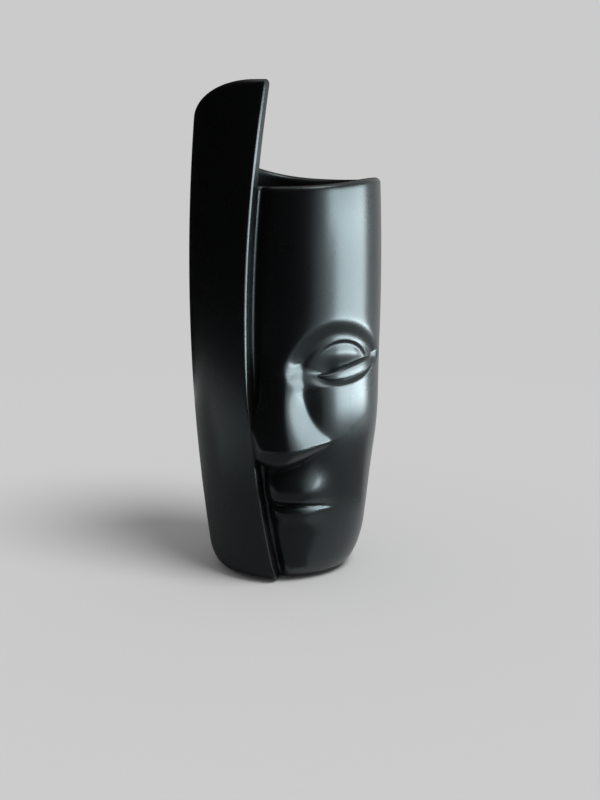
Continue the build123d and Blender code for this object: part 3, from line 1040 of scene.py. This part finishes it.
corner_sides = [(-1.0, -1.0), (1.0, -1.0), (1.0, 1.0), (-1.0, 1.0)]
floor_mesh = bpy.data.meshes.new("studio_floor")
floor_corners = [(floor_reach * x, floor_reach * y, 0.0) for x, y in corner_sides]
floor_mesh.from_pydata(floor_corners, [], [(0, 1, 2, 3)])
floor = add_object("studio_floor", floor_mesh)
sweep, tree, shader = new_material("Pale sweep")
tree.nodes.remove(shader)
paper = add_node(tree, "ShaderNodeBsdfDiffuse", {"Color": paper_colour}).outputs[0]
glow_inputs = {"Color": pale, "Strength": seen_directly_or_mirrored(tree)}
glow = add_node(tree, "ShaderNodeEmission", glow_inputs).outputs[0]
where = add_node(tree, "ShaderNodeTexCoord").outputs["Object"]
distance = add_node(tree, "ShaderNodeVectorMath", {0: where}, operation="LENGTH").outputs["Value"]
far_ends = {"Value": distance, "From Min": fade_start, "From Max": fade_end}
far = add_node(tree, "ShaderNodeMapRange", far_ends, interpolation_type="SMOOTHSTEP").outputs["Result"]
blend = add_node(tree, "ShaderNodeMixShader", {0: far, 1: paper, 2: glow})
fill_inputs(tree, tree.nodes["Material Output"], {"Surface": blend.outputs[0]})
floor_mesh.materials.append(sweep)
print("floor fades to the backdrop between", fade_start, "and", fade_end, "m")

# %% [markdown]
# The world is the backdrop. The camera and reflections see it as pale as the far floor, and as a light on
# the set it is dimmer, so that the vase's shadow shows.

# %% World
room_strength = 0.42
world = bpy.data.worlds.new("Pale studio")
scene.world = world
world.use_nodes = True
tree = world.node_tree
backdrop = tree.nodes["Background"]
backdrop.inputs["Color"].default_value = pale
room = add_node(tree, "ShaderNodeBackground", {"Color": (1.0, 1.0, 1.0, 1.0), "Strength": room_strength})
seen = seen_directly_or_mirrored(tree)
either = add_node(tree, "ShaderNodeMixShader", {0: seen, 1: room.outputs[0], 2: backdrop.outputs[0]})
fill_inputs(tree, tree.nodes["World Output"], {"Surface": either.outputs[0]})
print("world colour:", pale[:3])

# %% [markdown]
# ## Black flag and grey cloth
# A black glaze mirrors whatever stands round it. In a studio black cloths, called flags, are hung in
# front of and beside such a piece, so that it mirrors darkness and stays black. Here one curved flag
# stands from behind, past the left side, round to the front, and a grey cloth lies on the floor round the
# vase. Only reflections see them: they throw no shadow and hide nothing. Turns are counted from the
# camera's side of the vase.

# %% Flag and cloth
camera_turn = 7.0
flag_height = 1.2
flag_grey = 0.008
flag_steps = 60
flag_corner_turns = [-200.0, -120.0, -40.0, 0.0, 30.0]
flag_corner_distances = [0.5, 0.6, 0.38, 0.33, 0.36]
cloth_lift = 0.0005
cloth_grey = 0.2
cloth_steps = 90
cloth_first_turn = -200.0
cloth_last_turn = 120.0
cloth_near_turns = [20.0, 40.0]
cloth_near_distances = [0.045, 0.135]
cloth_far_turns = [-110.0, -85.0, -40.0, -20.0]
cloth_far_distances = [0.48, 0.24, 0.24, 0.32]


def studio_point(turn, distance, height):
    """a place in the studio, in metres"""
    angle = radians(turn + camera_turn)
    return (distance * sin(angle), -distance * cos(angle), height)


def studio_line(turns, distances, height):
    """a row of places at one height"""
    return [studio_point(turn, distance, height) for turn, distance in zip(turns, distances)]


def hang_cloth(name, near_edge, far_edge, grey):
    """a cloth between two edges that only reflections see"""
    mesh = bpy.data.meshes.new(name)
    mesh.from_pydata(near_edge + far_edge, [], quads(np.arange(2 * len(near_edge)).reshape(2, -1)).tolist())
    cloth = add_object(name, mesh)
    cloth.visible_camera = False
    cloth.visible_diffuse = False
    cloth.visible_transmission = False
    cloth.visible_shadow = False
    material, tree, shader = new_material(name)
    dull = {"Base Color": (grey, grey, grey, 1.0), "Roughness": 1.0, "Specular IOR Level": 0.0}
    fill_inputs(tree, shader, dull)
    mesh.materials.append(material)


turns = np.linspace(flag_corner_turns[0], flag_corner_turns[-1], flag_steps)
gaps = np.interp(turns, flag_corner_turns, flag_corner_distances)
hang_cloth("black_flag", studio_line(turns, gaps, 0.0), studio_line(turns, gaps, flag_height), flag_grey)
turns = np.linspace(cloth_first_turn, cloth_last_turn, cloth_steps)
cloth_near = studio_line(turns, np.interp(turns, cloth_near_turns, cloth_near_distances), cloth_lift)
cloth_far = studio_line(turns, np.interp(turns, cloth_far_turns, cloth_far_distances), cloth_lift)
hang_cloth("grey_cloth", cloth_near, cloth_far, cloth_grey)
print("flag from", flag_corner_turns[0], "to", flag_corner_turns[-1], "degrees")

# %% [markdown]
# ## White cards
# The long highlight down the forehead and cheek is the mirror image of tall white cards at the right,
# which get brighter towards the side. A mesh that glows would do, but lamps give less grain. They are
# lamps that only reflections see, so that they don't bleach the floor. At the side they are brightest at
# the foot and the head.

# %% Cards
card_colour = (0.9, 0.98, 1.0)
card_distance = 0.3
soft_distance = 0.31
edge_distance = 0.32
card_foot = 0.045
card_head = 0.24
edge_turn = 26.0
soft_turn = 40.0
top_turn = 44.0
right_turn = 54.0
side_turn = 79.0
# Name, lower and upper end in metres, last turn in degrees, radiance
right_parts = [("low", 0.053, 0.09, 105.0, 18.0), ("middle", 0.09, 0.2, 99.0, 8.2)]
right_parts += [("high", 0.2, 0.255, 99.0, 11.0)]


def white_card(name, first_turn, last_turn, distance, low, high, radiance):
    """an upright card that faces the vase's axis"""
    a = Vector(studio_point(first_turn, distance, low))
    b = Vector(studio_point(last_turn, distance, high))
    width = (a.xy - b.xy).length
    lamp = bpy.data.lights.new(name, "AREA")
    lamp.shape = "RECTANGLE"
    lamp.size = width
    lamp.size_y = high - low
    lamp.energy = radiance * pi * width * (high - low)
    lamp.color = card_colour
    card = add_object(name, lamp)
    card.location = 0.5 * (a + b)
    to_axis = Vector((-card.location.x, -card.location.y, 0.0))
    card.rotation_euler = to_axis.to_track_quat("-Z", "Y").to_euler()
    card.visible_camera = False
    card.visible_diffuse = False


white_card("card_edge", edge_turn, soft_turn, edge_distance, card_foot, card_head, radiance=0.25)
white_card("card_soft", soft_turn, right_turn, soft_distance, card_foot, card_head, radiance=1.2)
white_card("card_top", top_turn, right_turn, card_distance, low=0.21, high=0.265, radiance=11.0)
for part, low, high, last_turn, radiance in right_parts:
    white_card(f"card_right_{part}", right_turn, side_turn, card_distance, low, high, radiance)
    white_card(f"card_side_{part}", side_turn, last_turn, card_distance, low, high, radiance)

# %% [markdown]
# ## Light
# A broad, high light from the right lights the set and throws the soft shadow to the left. Mirrored in
# the glaze it would glint on every lip and lid, so reflections don't see it. A weaker one from the same
# side, which only reflections see, leaves a soft gleam there.

# %% Lamps
light_angle = radians(28.0)
light_height = radians(60.0)
light_right = 0.83
light_front = 0.56
light_level = cos(light_height)
toward_light = Vector((light_right * light_level, -light_front * light_level, sin(light_height)))


def broad_light(name, energy):
    """a soft light from the right, high up"""
    lamp = bpy.data.lights.new(name, "SUN")
    lamp.energy = energy
    lamp.angle = light_angle
    light = add_object(name, lamp)
    light.rotation_euler = toward_light.to_track_quat("Z", "Y").to_euler()
    return light


high_light = broad_light("high_light", energy=2.15)
high_light.visible_glossy = False
soft_gleam = broad_light("soft_gleam", energy=0.9)
soft_gleam.visible_diffuse = False
print("broad lights:", high_light.name, soft_gleam.name)

# %% [markdown]
# ## Camera
# The camera stands a little right of the face's mid-line, at about the height of the leaf's tip, and
# looks slightly down. The lens gives the perspective of a small object seen from under a metre. Lens and
# aim are worked out for a picture of 600 by 800 pixels, in which the vase's axis stands a little left of
# the middle.

# %% Camera
image_width = 600.0
image_height = 800.0
axis_pixel = 289.1
focal_pixels = 1295.0
sensor = 36.0
camera_distance = 0.7985
camera_height = 0.275
camera_pitch = radians(78.0)
camera_roll = radians(0.25)
lens = bpy.data.cameras.new("camera")
lens.sensor_width = sensor
lens.lens = sensor * focal_pixels / image_height
camera = add_object("camera", lens)
camera.location = studio_point(0.0, camera_distance, camera_height)
aside = atan((0.5 * image_width - axis_pixel) / focal_pixels)
aim = Euler((camera_pitch, 0.0, radians(camera_turn) - aside)).to_matrix()
camera.rotation_euler = (aim @ Matrix.Rotation(camera_roll, 3, "Z")).to_euler()
scene.camera = camera
scene.view_settings.view_transform = "Standard"
print("camera at", tuple(round(v, 3) for v in camera.location), "lens", round(lens.lens, 1), "mm")
